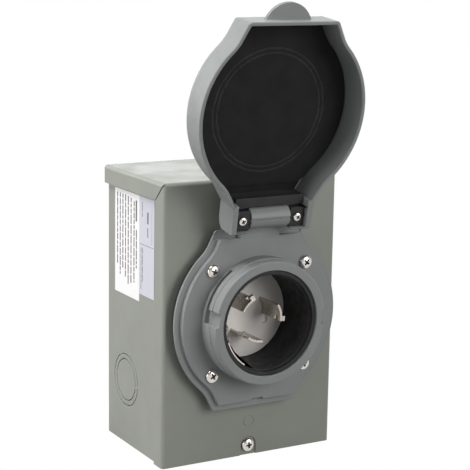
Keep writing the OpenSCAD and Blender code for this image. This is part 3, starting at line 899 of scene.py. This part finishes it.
def flange_screw_places(lo, hi):
    seat = lo.y + HEAD_HIGH
    out = Vector((0, -1, 0))
    spins = (0.5, 1.2, 0.3, 0.9)
    corners = [
        (x, z)
        for x in (lo.x + HEAD_R, hi.x - HEAD_R)
        for z in (lo.z + HEAD_R, hi.z - HEAD_R)
    ]
    return [(Vector((x, seat, z)), out, spin) for (x, z), spin in zip(corners, spins)]


def cover_screw_places(lo, hi):
    middle = (lo + hi) / 2
    return [(Vector((middle.x, lo.y + HEAD_HIGH, middle.z)), Vector((0, -1, 0)), 0.1)]


def block_screw_places():
    block_y = LID_RIM_Y - BLOCK_RECESS
    out = (opened.to_3x3() @ Vector((0, 1, 0))).normalized()
    x = (ARM_IN + BLOCK_OUT) / 2
    return [
        (opened @ Vector((side * x, block_y, hinge_axis.z)), out, spin)
        for side, spin in ((-1, 0.4), (1, 1.0))
    ]


for node, places, shank_r in (
    ("flange_screws", flange_screw_places, 1.95 * MM),
    ("cover_screw", cover_screw_places, 1.75 * MM),
):
    lo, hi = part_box(node)
    make_screws(
        node + "_cross",
        node,
        "root",
        places(lo, hi),
        (HEAD_R, HEAD_HIGH, shank_r, hi.y - lo.y - HEAD_HIGH, 0.4 * MM),
        BIG_RECESS,
    )
make_screws(
    "hinge_block_screws_cross",
    "hinge_block_screws",
    "lid",
    block_screw_places(),
    (2.8 * MM, 1.7 * MM, 1.25 * MM, 12 * MM, 0.3 * MM),
    SMALL_RECESS,
)


# ---- labels ------------------------------------------------------------------------

INK_T = 0.03 * MM
DASH_LENGTHS = (2.2, 6.5)
DASH_GAP = 0.7
DASH_LEAST = 1.2
# rows of dashes on the white film, in mm: (from front, from top to the start, to the end)
WHITE_ROWS = (
    (7.0, 5, 58),
    (11.4, 3.5, 60.5),
    (15.6, 3, 61),
    (19.6, 2.5, 57.5),
    (23.6, 2.5, 51.5),
    (27.6, 2.5, 56.5),
    (31.6, 2.5, 51),
    (3.6, 23, 48),
)
WHITE_HEADING = (3.4, 4, 2.0, 13.5)
WHITE_ROW_WIDTH = 1.3
# rows on the grey film: (from front, width, from top to the start, to the end)
GREY_ROWS = ((16.5, 0.9, 3.5, 13), (16.2, 0.9, 33, 55), (18.2, 0.7, 33, 60))
GREY_LINES = ((0.8, 30.5, 19.4, 0.35), (3.2, 3.5, 0.35, 25))
GREY_BLOCKS = ((8.0, 9, 2.2, 7.5), (8.6, 19, 1.2, 6))


def make_label(name, node, slot, bars, ink_material):
    """A film with generic printed bars: each is (from front, from top, width, length), in mm."""
    lo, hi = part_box(node)
    bm = bmesh.new()
    add_block(bm, (lo.x + INK_T, lo.y, lo.z), (hi.x, hi.y, hi.z))
    film_faces = len(bm.faces)
    for across, down, width, length in bars:
        y = lo.y + across * MM
        z = hi.z - down * MM
        add_block(
            bm,
            (lo.x, y, z - length * MM),
            (lo.x + 2 * INK_T, y + width * MM, z),
        )
    bm.faces.ensure_lookup_table()
    for face in bm.faces[film_faces:]:
        face.material_index = 1
    label = new_object(name, bm, [materials[slot], ink_material])
    place(label, "root", slot, node)


def dashes(across, width, start, end, rng):
    """A row of short bars from start to end, like greeked copy."""
    row = []
    down = start
    while down < end - DASH_LEAST:
        length = min(rng.uniform(*DASH_LENGTHS), end - down)
        row.append((across, down, width, length))
        down += length + DASH_GAP
    return row


rng = random.Random(4)
white_bars = [WHITE_HEADING]
for across, start, end in WHITE_ROWS:
    white_bars += dashes(across, WHITE_ROW_WIDTH, start, end, rng)
grey_bars = [*GREY_LINES, *GREY_BLOCKS]
for across, width, start, end in GREY_ROWS:
    grey_bars += dashes(across, width, start, end, rng)
make_label(
    "rating_label_film",
    "rating_label",
    "white_label",
    white_bars,
    ink("print", (0.09, 0.085, 0.085)),
)
make_label(
    "notice_label_film",
    "notice_label",
    "grey_label",
    grey_bars,
    ink("print_grey", (0.17, 0.17, 0.19)),
)


# ---- CAD nodes -----------------------------------------------------------------------

slot_of = {s["node"]: s["material_slot"] for s in frame["record"]["subparts"]}
# how wide the sharp edges of each node are rounded
EDGES = {
    "base_box": 0.12 * MM,
    "front_cover": 0.2 * MM,
    "inlet_flange": 0.35 * MM,
    "inlet_barrel": 0.3 * MM,
    "contact_face": 0.12 * MM,
    "blade_x": 0.2 * MM,
    "blade_y": 0.2 * MM,
    "blade_w": 0.2 * MM,
    "hinge_block_left": 0.35 * MM,
    "hinge_block_right": 0.35 * MM,
    "pad_retainer": 0.4 * MM,
    "flange_gasket": 0.2 * MM,
    "ground_lug": 0.3 * MM,
    "rear_body": 0.3 * MM,
    "terminal_clamps": 0.25 * MM,
}
for name, node in nodes.items():
    node.data.materials.clear()
    # the blades take the darker nickel, as painted shade
    node.data.materials.append(
        blade_metal_painted_shade if name.startswith("blade_") else materials[slot_of[name]]
    )
    if name in EDGES:
        smooth_edges(node, EDGES[name], dissolve=True)


bpy.context.scene.view_settings.view_transform = "Standard"
